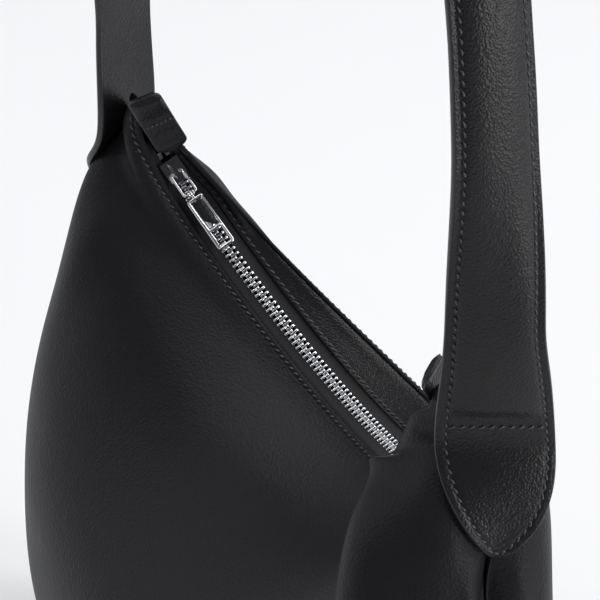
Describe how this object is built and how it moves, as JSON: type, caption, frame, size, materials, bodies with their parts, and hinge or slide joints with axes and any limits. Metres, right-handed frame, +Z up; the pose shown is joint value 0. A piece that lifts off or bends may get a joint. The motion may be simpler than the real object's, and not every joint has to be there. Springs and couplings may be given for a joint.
{
  "type": "hobo bag",
  "caption": "Smooth black leather hobo bag with a curved metal zip across a scooped mouth and a padded shoulder strap on pointed sewn tabs.",
  "frame": {"origin": "centre of the flat base, on the floor", "axes": "+X along the bag to the right seen from the front, -Y out of the front, +Z up towards the strap"},
  "size_m": [0.3804, 0.1434, 0.5951],
  "materials": {
    "leather": "smooth black leather, soft sheen",
    "lining_cloth": "black twill lining",
    "zip_tape": "black woven tape",
    "nickel": "polished nickel plate",
    "board": "stiffening board",
    "foam": "foam padding"
  },
  "bodies": {
    "bag": {"front_panel": "leather", "back_panel": "leather", "base_panel": "leather", "base_board": "board", "front_lining": "lining_cloth", "back_lining": "lining_cloth", "slip_pocket": "lining_cloth", "back_facing": "leather", "front_facing": "leather", "zip_tape_front": "zip_tape", "zip_tape_back": "zip_tape", "zip_teeth_front": "nickel", "zip_teeth_back": "nickel", "zip_top_stops": "nickel", "zip_bottom_stop": "nickel", "zip_end_tab_left": "leather", "zip_end_tab_right": "leather", "strap_tab_left": "leather", "strap_tab_right": "leather", "strap_root_left": "leather", "strap_root_right": "leather"},
    "slider": {"slider_body": "nickel", "slider_bridge": "nickel"},
    "link": {"puller_link": "nickel"},
    "puller": {"puller_frame": "nickel", "puller_leather": "leather"},
    "strap": {"strap_cover": "leather", "strap_foam": "foam", "strap_lining": "leather"}
  },
  "joints": [
    {"name": "zip_travel", "type": "hinge", "parent": "bag", "child": "slider", "pos_m": [0, -0.014, 0.306], "axis": [0, -0.8988, -0.4384], "range_deg": [0, 124], "deforming": ["zip_teeth_front", "zip_teeth_back"]},
    {"name": "link_tilt", "type": "hinge", "parent": "slider", "child": "link", "pos_m": [-0.11933, 0.00679, 0.26338], "axis": [0, -0.8988, -0.4384], "range_deg": [0, 110]},
    {"name": "puller_tilt", "type": "hinge", "parent": "link", "child": "puller", "pos_m": [-0.11361, 0.01065, 0.25547], "axis": [0, -0.8988, -0.4384], "range_deg": [0, 45]},
    {"name": "strap_swing", "type": "hinge", "parent": "bag", "child": "strap", "pos_m": [0, 0.001, 0.299], "axis": [1, 0, 0], "range_deg": [-60, 60], "deforming": ["strap_root_left", "strap_root_right"]}
  ]
}
